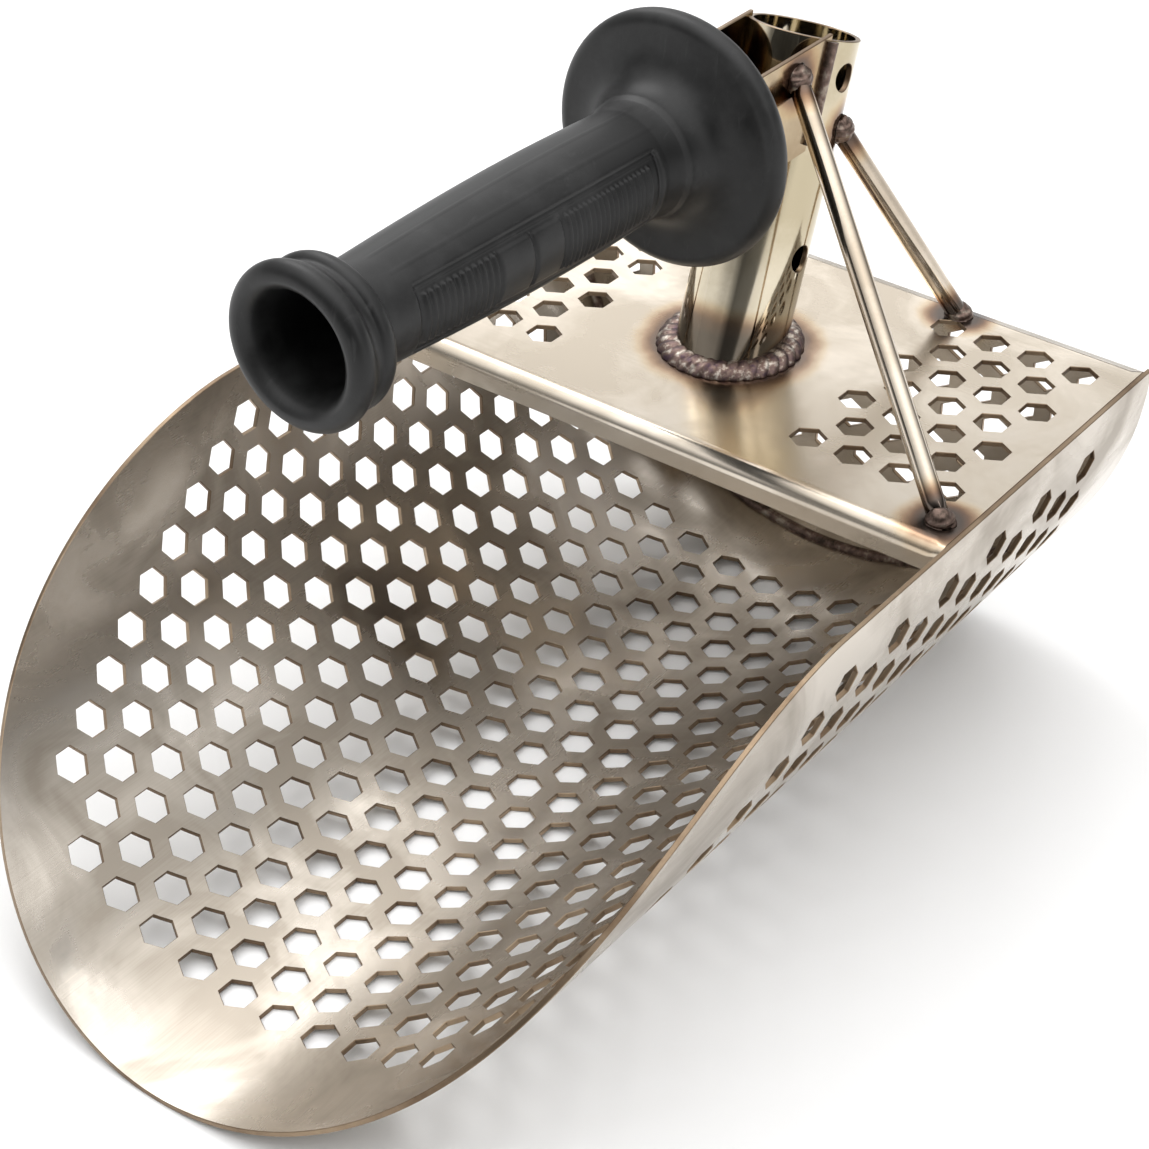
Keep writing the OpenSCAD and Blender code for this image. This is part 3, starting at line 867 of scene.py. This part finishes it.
@dataclass
class Welds:
    """The hand-laid beads: a rippled ring round the socket's foot and a lump at each rod end."""

    socket: Socket
    bracket: Bracket
    rods: StayRods
    lump_radius: float = 4.3
    ring_width: float = 5.0
    ring_height: float = 3.1
    ripple: float = 3.0

    def waves(self, directions: np.ndarray, seed: int, count: int = 7) -> np.ndarray:
        """A smooth random height for each direction: a sum of sines of its shares along axes."""
        rng = np.random.default_rng(seed)
        axes = rng.normal(size=(count, 3)) * rng.uniform(2.0, 6.0, (count, 1))
        phases = rng.uniform(0.0, 2 * np.pi, count)
        return np.sin(directions @ axes.T + phases).sum(axis=-1) / count

    def lump(self, name: str, at: np.ndarray, seed: int,
             press: Callable[[np.ndarray], np.ndarray]) -> bpy.types.Object:
        """Builds a lump: a sphere whose radius swells by waves and ripples, pressed on a face.

        Args:
            name: the object's name.
            at: middle of the lump.
            seed: number that picks the lump's own waves.
            press: moves points that lie behind the face onto it.

        Returns:
            The lump as an object.
        """
        rows, around = 34, 56
        rise = np.linspace(0.0, np.pi, rows)[1:-1]
        profile = np.column_stack([np.sin(rise), -np.cos(rise)])
        axes = np.array([0.0, 0.0, 1.0]), np.array([1.0, 0.0, 0.0])
        directions = revolved(profile, np.zeros(3), *axes, around)
        height = directions[..., 2]
        swell = 0.10 * self.waves(directions, seed) + 0.035 * np.cos(14.0 * height + 3.0 * directions[..., 0])
        return lofted(name, press(at + directions * (self.lump_radius * (0.97 + swell))[..., None]))

    def onto_cover(self, points: np.ndarray) -> np.ndarray:
        """Lifts points below the cover's top face to it."""
        points[..., 2] = np.maximum(points[..., 2], 0.03)
        return points

    def onto_cheek(self, points: np.ndarray) -> np.ndarray:
        """Moves points behind a cheek's outer face out to it, and clear of the socket."""
        side = np.sign(points[..., 1].mean())
        points[..., 1] = side * np.maximum(side * points[..., 1], self.bracket.half + 0.03)
        return points

    def onto_socket(self, points: np.ndarray) -> np.ndarray:
        """Moves points inside the socket's outer face straight out to it."""
        base = points - [self.socket.foot_x, 0.0, 0.0]
        up = base @ self.socket.along
        spoke = base - up[..., None] * self.socket.along
        radius = np.linalg.norm(spoke, axis=-1, keepdims=True)
        return points + spoke * (np.maximum(self.socket.outer + 0.03, radius) / radius - 1.0)

    def foot_ring(self) -> bpy.types.Object:
        """Builds the ring bead: a quarter-round fillet whose size ripples as coins in a row do.

        At height z the socket's wall is an ellipse whose middle leans back by z·tan(lean). The
        bead stands out from it by w·cos(p) where it is h·sin(p) high.

        Returns:
            The bead as an object.
        """
        lean = math.tan(math.radians(self.socket.lean))
        turn = np.linspace(0.0, -2 * np.pi, 420, endpoint=False)[:, None]
        part = np.radians(np.linspace(0.0, 90.0, 15))[None, :]
        rng = np.random.default_rng(4)
        steps = 2 * np.pi * self.socket.outer / self.ripple
        drift = sum(np.sin(k * turn + rng.uniform(0, 6.28)) / k for k in (2, 3, 5, 7))
        phase = steps * turn / 2 + 0.9 * drift + 0.9 * np.cos(part * 2)
        size = 0.93 + 0.12 * np.abs(np.sin(phase)) ** 0.8 + 0.05 * drift / 2
        out = self.ring_width * size * np.cos(part)
        up = self.ring_height * (0.9 + 0.12 * size) * size * np.sin(part)
        inner = np.broadcast_to([-0.7, -0.7], (len(turn), 2))
        out = np.concatenate([out, inner], axis=1)
        up = np.concatenate([up, up[:, -1:], np.full_like(up[:, :1], 0.02)], axis=1)
        up = np.maximum(up, 0.02)
        ahead = self.socket.outer / math.cos(math.radians(self.socket.lean))
        x = self.socket.foot_x - up * lean + (ahead + out) * np.cos(turn)
        y = (self.socket.outer + out) * np.sin(turn)
        return lofted("socket_foot_bead", np.stack([x, y, up], axis=-1), capped=False, closed=True)

    def build(self) -> dict[str, bpy.types.Object]:
        """Builds the ring and the lumps, each under the name of its CAD node."""
        made = {"socket_base_weld": self.foot_ring()}
        for number, side in enumerate(Side):
            label = side.name.lower()
            front_foot, front_head = self.rods.front_ends(side)
            rear_foot, rear_head = self.rods.rear_ends(side)
            spots = (("front_foot", front_foot, self.onto_cover), ("front_head", front_head, self.onto_cheek),
                     ("rear_foot", rear_foot, self.onto_cover), ("rear_head", rear_head, self.onto_socket))
            for spot, (where, at, press) in enumerate(spots):
                bead = self.lump(f"{where}_bead_{label}", at, 10 * number + spot, press)
                made[f"{where}_weld_{label}"] = bead
        return made


# --- finishes ---


def linear(code: str) -> tuple[float, float, float, float]:
    """Turns an sRGB hex colour such as c8b89a to linear red, green, blue and alpha."""
    part = np.array([int(code[i:i + 2], 16) for i in (0, 2, 4)]) / 255.0
    part = np.where(part <= 0.04045, part / 12.92, ((part + 0.055) / 1.055) ** 2.4)
    return (*part.tolist(), 1.0)


def add(tree: bpy.types.NodeTree, kind: str, settings: dict | None = None,
        links: dict | None = None) -> bpy.types.Node:
    """Adds a node with its settings and links.

    Args:
        tree: the node tree that takes the node.
        kind: the node's type.
        settings: values by property name or by input; "stops" holds a ramp's places and colours.
        links: output sockets by input.

    Returns:
        The node.
    """
    node = tree.nodes.new(kind)
    for key, value in (settings or {}).items():
        if key == "stops":
            while len(node.color_ramp.elements) < len(value):
                node.color_ramp.elements.new(0.5)
            for element, (at, colour) in zip(node.color_ramp.elements, value):
                element.position, element.color = at, colour
        elif isinstance(key, str) and hasattr(node, key):
            setattr(node, key, value)
        else:
            node.inputs[key].default_value = value
    for key, socket in (links or {}).items():
        tree.links.new(socket, node.inputs[key])
    return node


def blank_material(name: str) -> tuple[bpy.types.Material, bpy.types.NodeTree, bpy.types.Node]:
    """Makes a material, and gives it with its node tree and its main shader."""
    made = bpy.data.materials.new(name)
    made.use_nodes = True
    return made, made.node_tree, made.node_tree.nodes["Principled BSDF"]


class Grain(Enum):
    """What a finish's grain follows."""

    SHEET_LENGTH = "along the unrolled sheet"
    SHEET_WIDTH = "across the unrolled sheet"
    ROUND = "no single way"


@dataclass(frozen=True)
class HeatHalo:
    """Oxide colours that welding leaves on steel, by distance from a point of the weld."""

    centre: tuple[float, float, float]
    hot: float
    cold: float
    strength: float = 1.0

    def colour_over(self, tree: bpy.types.NodeTree, base: bpy.types.NodeSocket,
                    place_at: bpy.types.NodeSocket, wobble: bpy.types.NodeSocket) -> bpy.types.NodeSocket:
        """Lays the halo over a base colour: blue-black, brown, bronze, straw, then clean steel.

        Args:
            tree: the material's node tree.
            base: the colour under the halo.
            place_at: the place on the piece, in metres.
            wobble: a noise that makes the halo's edge uneven.

        Returns:
            The tinted colour.
        """
        centre = place(np.array(self.centre)).tolist()
        gap = add(tree, "ShaderNodeVectorMath", {"operation": "DISTANCE", 1: centre}, {0: place_at})
        width = (self.cold - self.hot) * MM
        uneven = add(tree, "ShaderNodeMath", {"operation": "MULTIPLY_ADD", 1: 0.35 * width},
                     {0: wobble, 2: gap.outputs["Value"]})
        share = add(tree, "ShaderNodeMapRange", {"From Min": self.hot * MM + 0.1 * width,
                                                 "From Max": self.cold * MM + 0.17 * width},
                    {"Value": uneven.outputs[0]})
        tints = add(tree, "ShaderNodeValToRGB", {"stops": [
            (0.0, linear("3d3330")), (0.22, linear("5f4638")), (0.45, linear("8f6c4c")),
            (0.68, linear("b99a6b")), (1.0, linear("cfc0a4"))]}, {"Fac": share.outputs[0]})
        weight = add(tree, "ShaderNodeMapRange", {"From Min": 0.25, "From Max": 1.0, "To Min": self.strength,
                                                  "To Max": 0.0, "interpolation_type": "SMOOTHSTEP"},
                     {"Value": share.outputs[0]})
        mixed = add(tree, "ShaderNodeMix", {"data_type": "RGBA"},
                    {0: weight.outputs[0], 6: base, 7: tints.outputs[0]})
        return mixed.outputs[2]


@dataclass(frozen=True)
class Stainless:
    """Stainless steel 304: cold-rolled, then brushed, drawn or polished, and tinted by welding.

    The steel is grey with a warm cast. Its grain gives long soft reflections, and handling
    leaves cloudy patches where they blur. Real grain is about 0.05 mm wide, and it is drawn
    several times as wide so that it shows.
    """

    name: str
    colour: str
    cloud: str
    roughness: float
    rough_cloud: float
    grain: Grain
    grain_width: float = 0.45
    grain_length: float = 40.0
    cloud_size: float = 38.0
    bump: float = 0.25
    halos: tuple[HeatHalo, ...] = ()

    def material(self) -> bpy.types.Material:
        """Builds the material: grain and clouds shade a metal, and halos tint it."""
        made, tree, shader = blank_material(self.name)
        coords = add(tree, "ShaderNodeTexCoord")
        at = coords.outputs["Object"]
        fine, long = 1 / (self.grain_width * MM), 1 / (self.grain_length * MM)
        if self.grain is Grain.ROUND:
            source, scale = at, (0.4 * fine, 0.4 * fine, 0.4 * fine)
        else:
            source = coords.outputs["UV"]
            scale = (fine, long, 1.0) if self.grain is Grain.SHEET_LENGTH else (long, fine, 1.0)
        stretched = add(tree, "ShaderNodeMapping", {"Scale": scale}, {"Vector": source})
        grain = add(tree, "ShaderNodeTexNoise", {"Scale": 1.0, "Detail": 3.0, "Roughness": 0.6},
                    {"Vector": stretched.outputs[0]})
        clouds = add(tree, "ShaderNodeTexNoise", {"Scale": 1 / (self.cloud_size * MM), "Detail": 4.0,
                                                  "Roughness": 0.55, "Distortion": 0.6}, {"Vector": at})
        patch = add(tree, "ShaderNodeMapRange", {"From Min": 0.38, "From Max": 0.68},
                    {"Value": clouds.outputs[0]})
        tone = add(tree, "ShaderNodeMath", {"operation": "MULTIPLY_ADD", 1: 0.35},
                   {0: grain.outputs[0], 2: patch.outputs[0]})
        shaded = add(tree, "ShaderNodeMix", {"data_type": "RGBA", 6: linear(self.colour),
                                             7: linear(self.cloud)}, {0: tone.outputs[0]})
        colour = shaded.outputs[2]
        if self.halos:
            fuzz = add(tree, "ShaderNodeTexNoise", {"Scale": 1 / (7 * MM), "Detail": 3.0}, {"Vector": at})
            wobble = add(tree, "ShaderNodeMath", {"operation": "SUBTRACT", 1: 0.5}, {0: fuzz.outputs[0]})
            for halo in self.halos:
                colour = halo.colour_over(tree, colour, at, wobble.outputs[0])
        rough = add(tree, "ShaderNodeMapRange", {"To Min": self.roughness, "To Max": self.rough_cloud},
                    {"Value": tone.outputs[0]})
        bump = add(tree, "ShaderNodeBump", {"Strength": self.bump, "Distance": 0.02 * MM},
                   {"Height": grain.outputs[0]})
        shader.inputs["Metallic"].default_value = 1.0
        tree.links.new(colour, shader.inputs["Base Color"])
        tree.links.new(rough.outputs[0], shader.inputs["Roughness"])
        tree.links.new(bump.outputs[0], shader.inputs["Normal"])
        return made


@dataclass(frozen=True)
class WeldBead:
    """Stainless weld metal, laid by hand: bright ripples under a purple and brown oxide skin."""

    name: str
    skin: str
    bright: str
    roughness: float = 0.38

    def material(self) -> bpy.types.Material:
        """Builds the material: blotches of oxide and clean metal on a pitted bead."""
        made, tree, shader = blank_material(self.name)
        at = add(tree, "ShaderNodeTexCoord").outputs["Object"]
        blotches = add(tree, "ShaderNodeTexNoise", {"Scale": 1 / (3.2 * MM), "Detail": 5.0,
                                                    "Roughness": 0.62}, {"Vector": at})
        ramp = add(tree, "ShaderNodeValToRGB", {"stops": [
            (0.34, linear(self.skin)), (0.52, linear("74625a")), (0.66, linear(self.bright))]},
            {"Fac": blotches.outputs[0]})
        pits = add(tree, "ShaderNodeTexNoise", {"Scale": 1 / (1.1 * MM), "Detail": 4.0}, {"Vector": at})
        bump = add(tree, "ShaderNodeBump", {"Strength": 0.5, "Distance": 0.25 * MM},
                   {"Height": pits.outputs[0]})
        shader.inputs["Metallic"].default_value = 1.0
        shader.inputs["Roughness"].default_value = self.roughness
        tree.links.new(ramp.outputs[0], shader.inputs["Base Color"])
        tree.links.new(bump.outputs[0], shader.inputs["Normal"])
        return made


@dataclass(frozen=True)
class MouldedRubber:
    """Natural rubber, moulded: near-black, dull, with a grey bloom where hands and tools rub."""

    name: str
    colour: str
    bloom: str
    roughness: float = 0.42

    def material(self) -> bpy.types.Material:
        """Builds the material: cloudy bloom over black, and a fine moulded tooth."""
        made, tree, shader = blank_material(self.name)
        at = add(tree, "ShaderNodeTexCoord").outputs["Object"]
        clouds = add(tree, "ShaderNodeTexNoise", {"Scale": 1 / (24 * MM), "Detail": 6.0,
                                                  "Roughness": 0.65}, {"Vector": at})
        share = add(tree, "ShaderNodeMapRange", {"From Min": 0.48, "From Max": 0.8},
                    {"Value": clouds.outputs[0]})
        streaks = add(tree, "ShaderNodeMapping", {"Rotation": (0.5, 0.0, 0.3), "Scale": (90.0, 300.0, 60.0)},
                      {"Vector": at})
        marks = add(tree, "ShaderNodeTexNoise", {"Scale": 1.0, "Detail": 5.0, "Roughness": 0.7,
                                                 "Distortion": 0.8}, {"Vector": streaks.outputs[0]})
        scuffed = add(tree, "ShaderNodeMapRange", {"From Min": 0.6, "From Max": 0.75},
                      {"Value": marks.outputs[0]})
        worn = add(tree, "ShaderNodeMath", {"operation": "MULTIPLY_ADD", "use_clamp": True, 1: 0.8},
                   {0: scuffed.outputs[0], 2: share.outputs[0]})
        colour = add(tree, "ShaderNodeMix", {"data_type": "RGBA", 6: linear(self.colour),
                                             7: linear(self.bloom)}, {0: worn.outputs[0]})
        rough = add(tree, "ShaderNodeMapRange", {"To Min": self.roughness, "To Max": self.roughness + 0.14},
                    {"Value": worn.outputs[0]})
        tooth = add(tree, "ShaderNodeTexNoise", {"Scale": 1 / (0.5 * MM), "Detail": 2.0}, {"Vector": at})
        bump = add(tree, "ShaderNodeBump", {"Strength": 0.15, "Distance": 0.05 * MM},
                   {"Height": tooth.outputs[0]})
        tree.links.new(colour.outputs[2], shader.inputs["Base Color"])
        tree.links.new(rough.outputs[0], shader.inputs["Roughness"])
        tree.links.new(bump.outputs[0], shader.inputs["Normal"])
        shader.inputs["IOR"].default_value = 1.52
        shader.inputs["Specular IOR Level"].default_value = 0.4
        return made


# --- studio ---


@dataclass
class Studio:
    """A white floor under an even sky, bright overhead and dim low in front, and soft boxes."""

    floor_size: float = 40.0
    sky: float = 2.4
    sky_levels: tuple[tuple[float, float], ...] = ((0.0, 0.03), (0.28, 0.11), (0.58, 0.37), (1.0, 1.0))
    front: tuple[float, float, float] = (0.8, 0.6, 0.0)
    front_level: float = 0.15
    horizon_level: float = 0.42

    def surround(self) -> None:
        """Makes the sky: it brightens with height, dims in front and is pale at the horizon."""
        world = bpy.data.worlds.new("surround")
        world.use_nodes = True
        tree = world.node_tree
        back = tree.nodes["Background"]
        towards = add(tree, "ShaderNodeTexCoord").outputs["Generated"]
        height = add(tree, "ShaderNodeSeparateXYZ", {}, {0: towards}).outputs["Z"]
        stops = [(at, (level, level, level, 1.0)) for at, level in self.sky_levels]
        levels = add(tree, "ShaderNodeValToRGB", {"stops": stops}, {"Fac": height})
        ahead = add(tree, "ShaderNodeVectorMath", {"operation": "DOT_PRODUCT", 1: self.front}, {0: towards})
        dim = add(tree, "ShaderNodeMapRange", {"From Min": 0.45, "From Max": 0.9, "To Min": 1.0,
                                               "To Max": self.front_level,
                                               "interpolation_type": "SMOOTHSTEP"},
                  {"Value": ahead.outputs["Value"]})
        edge = add(tree, "ShaderNodeMapRange", {"From Min": 0.8, "From Max": 0.93, "To Min": self.horizon_level,
                                                "To Max": self.horizon_level * self.front_level},
                   {"Value": ahead.outputs["Value"]})
        pale = add(tree, "ShaderNodeMapRange", {"From Min": 0.06, "From Max": 0.16, "To Max": 0.0,
                                                "interpolation_type": "SMOOTHSTEP"},
                   {"Value": height, "To Min": edge.outputs[0]})
        above = add(tree, "ShaderNodeMath", {"operation": "MULTIPLY"},
                    {0: levels.outputs[0], 1: dim.outputs[0]})
        level = add(tree, "ShaderNodeMath", {"operation": "MAXIMUM"},
                    {0: above.outputs[0], 1: pale.outputs[0]})
        tree.links.new(level.outputs[0], back.inputs["Color"])
        back.inputs["Strength"].default_value = self.sky
        bpy.context.scene.world = world

    def floor(self) -> None:
        """Lays a pale floor under the lowest point, as one flat grid of two by two faces."""
        low = Vector(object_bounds()[0])
        grid = np.linspace(-self.floor_size, self.floor_size, 3)
        x, y = np.meshgrid(grid, grid)
        points = np.column_stack([x.ravel(), y.ravel(), np.full(9, low.z)])
        corner = np.array([0, 1, 3, 4])
        faces = np.column_stack([corner, corner + 1, corner + 4, corner + 3])
        made = mesh_object("floor", points, [faces])
        paper, _, shader = blank_material("white_paper_matt")
        shader.inputs["Base Color"].default_value = linear("f4f4f4")
        shader.inputs["Roughness"].default_value = 0.9
        made.data.materials.append(paper)
        made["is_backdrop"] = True

    def soft_box(self, name: str, size: tuple[float, float], power: float,
                 at: tuple[float, float, float], towards: tuple[float, float, float]) -> None:
        """Hangs a soft box that faces a point.

        Args:
            name: the light's name.
            size: width and height in metres.
            power: power in watts.
            at: place in metres.
            towards: point that it faces, in metres.
        """
        light = bpy.data.lights.new(name, "AREA")
        light.shape, light.size, light.size_y, light.energy = "RECTANGLE", *size, power
        made = bpy.data.objects.new(name, light)
        made.location = at
        made.rotation_mode = "QUATERNION"
        made.rotation_quaternion = (Vector(at) - Vector(towards)).to_track_quat("Z", "Y")
        bpy.context.scene.collection.objects.link(made)

    def build(self) -> None:
        """Builds the floor, the surround and the lights."""
        self.floor()
        self.surround()
        self.soft_box("key", (0.5, 1.2), 6.0, (-0.5, -0.9, 1.4), (0.0, 0.0, 0.08))
        self.soft_box("back", (1.3, 0.4), 2.4, (-1.3, -1.0, 0.8), (0.0, 0.0, 0.12))
        self.soft_box("side", (0.25, 1.2), 2.5, (0.1, 1.5, 0.9), (0.0, 0.0, 0.08))
        bpy.context.scene.view_settings.view_transform = "Standard"


@dataclass
class View:
    """The camera: above the nose's left corner, looking back and down at the socket."""

    target: tuple[float, float, float] = (74.94, 70.51, 147.18)
    azimuth: float = 36.71
    elevation: float = 35.52
    distance: float = 600.0
    roll: float = 0.62
    lens: float = 83.62

    def build(self) -> None:
        """Builds the camera: place = target + distance·(cos e cos a, cos e sin a, sin e)."""
        a, e = math.radians(self.azimuth), math.radians(self.elevation)
        towards = Vector((math.cos(e) * math.cos(a), math.cos(e) * math.sin(a), math.sin(e)))
        camera = bpy.data.cameras.new("camera")
        camera.lens, camera.sensor_width = self.lens, 36.0
        camera.clip_start, camera.clip_end = 0.05, 30.0
        made = bpy.data.objects.new("camera", camera)
        made.location = Vector(self.target) * MM + towards * self.distance * MM
        roll = Matrix.Rotation(math.radians(self.roll), 3, "Z")
        made.rotation_euler = (towards.to_track_quat("Z", "Y").to_matrix() @ roll).to_euler()
        bpy.context.scene.collection.objects.link(made)
        bpy.context.scene.camera = made


# --- the scoop ---


@dataclass
class Scoop:
    """The whole scoop: its sub-assemblies and the finish that each of them takes."""

    def __post_init__(self) -> None:
        """Makes the sub-assemblies, from the trough up."""
        holes = Perforation()
        self.trough = Trough(holes)
        self.cover = Cover(holes, self.trough)
        self.socket = Socket()
        self.grip = Grip(socket=self.socket)
        self.bracket = Bracket(self.socket, self.grip)
        self.rods = StayRods(self.socket, self.bracket, self.cover)
        self.welds = Welds(self.socket, self.bracket, self.rods)

    def finishes(self) -> dict[str, bpy.types.Material]:
        """Makes the finishes by name."""
        foot = (self.socket.foot_x, 0.0, 0.0)
        ends = [(*self.rods.front_ends(side), *self.rods.rear_ends(side)) for side in Side]
        front_feet = [tuple(end[0].tolist()) for end in ends]
        front_heads = [tuple(end[1].tolist()) for end in ends]
        rear_feet = [tuple(end[2].tolist()) for end in ends]
        rear_heads = [tuple(end[3].tolist()) for end in ends]
        at_feet = tuple(HeatHalo(at, 5.0, 13.0, 0.9) for at in front_feet + rear_feet)
        at_heads = tuple(HeatHalo(at, 3.0, 12.0, 0.9) for at in front_heads + rear_heads)
        # The sheets are brushed and smudged by handling, so their reflections are long and cloudy.
        # The tube and the rods come polished, so theirs are sharp. Welding leaves brown and straw
        # oxides round its beads. Cut edges stay rough and brown from the laser.
        made = [
            Stainless("stainless_brushed_trough", "d8d0c5", "a39a8e", 0.15, 0.38, Grain.SHEET_LENGTH),
            Stainless("stainless_brushed_cover", "ddd3c5", "beb3a3", 0.15, 0.28, Grain.SHEET_WIDTH,
                      halos=(HeatHalo(foot, 19.0, 29.0, 0.85), *at_feet)),
            Stainless("stainless_polished_tube", "d9cfba", "b9ad93", 0.05, 0.11, Grain.ROUND,
                      bump=0.06, halos=(HeatHalo(foot, 16.2, 21.5, 0.8), *at_heads)),
            Stainless("stainless_tinted_bracket", "bfae92", "9a8669", 0.10, 0.20, Grain.ROUND,
                      bump=0.08, halos=at_heads),
            Stainless("stainless_polished_rod", "dcd0c0", "bcae9c", 0.09, 0.16, Grain.ROUND,
                      bump=0.05, halos=at_feet + at_heads),
            Stainless("stainless_drawn_core_tube", "c9c3ba", "aaa196", 0.20, 0.30, Grain.ROUND),
            Stainless("stainless_laser_cut_edge", "a08d76", "6f5c4a", 0.30, 0.45, Grain.ROUND, bump=0.2),
            WeldBead("weld_metal_tinted_ring", "51414a", "cfc6bb"),
            WeldBead("weld_metal_dark", "443b34", "9d9386"),
            MouldedRubber("rubber_black_moulded", "0d0d0d", "303030"),
        ]
        return {finish.name: finish.material() for finish in made}

    def build(self) -> None:
        """Builds every piece, dresses it, hangs it under the root body and hides the CAD node that it stands
        for; the CAD nodes left over get finishes too.
        """
        finish = self.finishes()
        pieces = {
            "trough_shell": (self.trough.build(), "stainless_brushed_trough", "trough_steel"),
            "cover_plate": (self.cover.build(), "stainless_brushed_cover", "cover_steel"),
            "shaft_socket": (self.socket.build(), "stainless_polished_tube", "socket_steel"),
            "grip_bracket": (self.bracket.build(), "stainless_tinted_bracket", "bracket_steel"),
            "rubber_grip": (self.grip.build(), "rubber_black_moulded", "grip_rubber"),
        }
        for node, piece in self.rods.build().items():
            pieces[node] = (piece, "stainless_polished_rod", "rod_steel")
        for node, piece in self.welds.build().items():
            tinted = node == "socket_base_weld"
            pieces[node] = (piece, "weld_metal_tinted_ring" if tinted else "weld_metal_dark", "weld_metal")
        for node, (piece, name, slot) in pieces.items():
            piece.data.materials.append(finish[name])
            if node in CUT_SHEETS:
                piece.data.materials.append(finish["stainless_laser_cut_edge"])
            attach(piece, "root")
            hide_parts(node)
            log.info("%s stands for %s, finished in %s", piece.name, node, name)
        for node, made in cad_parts.items():
            if node not in pieces:
                name = "stainless_drawn_core_tube" if node == "grip_core_tube" else "weld_metal_dark"
                for slot in made.material_slots:
                    slot.material = finish[name]
                log.info("%s keeps its CAD shape, finished in %s", node, name)


def main() -> None:
    """Builds the scoop, the studio and the view."""
    logging.basicConfig(level=logging.INFO, format="%(message)s")
    Scoop().build()
    Studio().build()
    View().build()


if __name__ == "__main__":
    main()
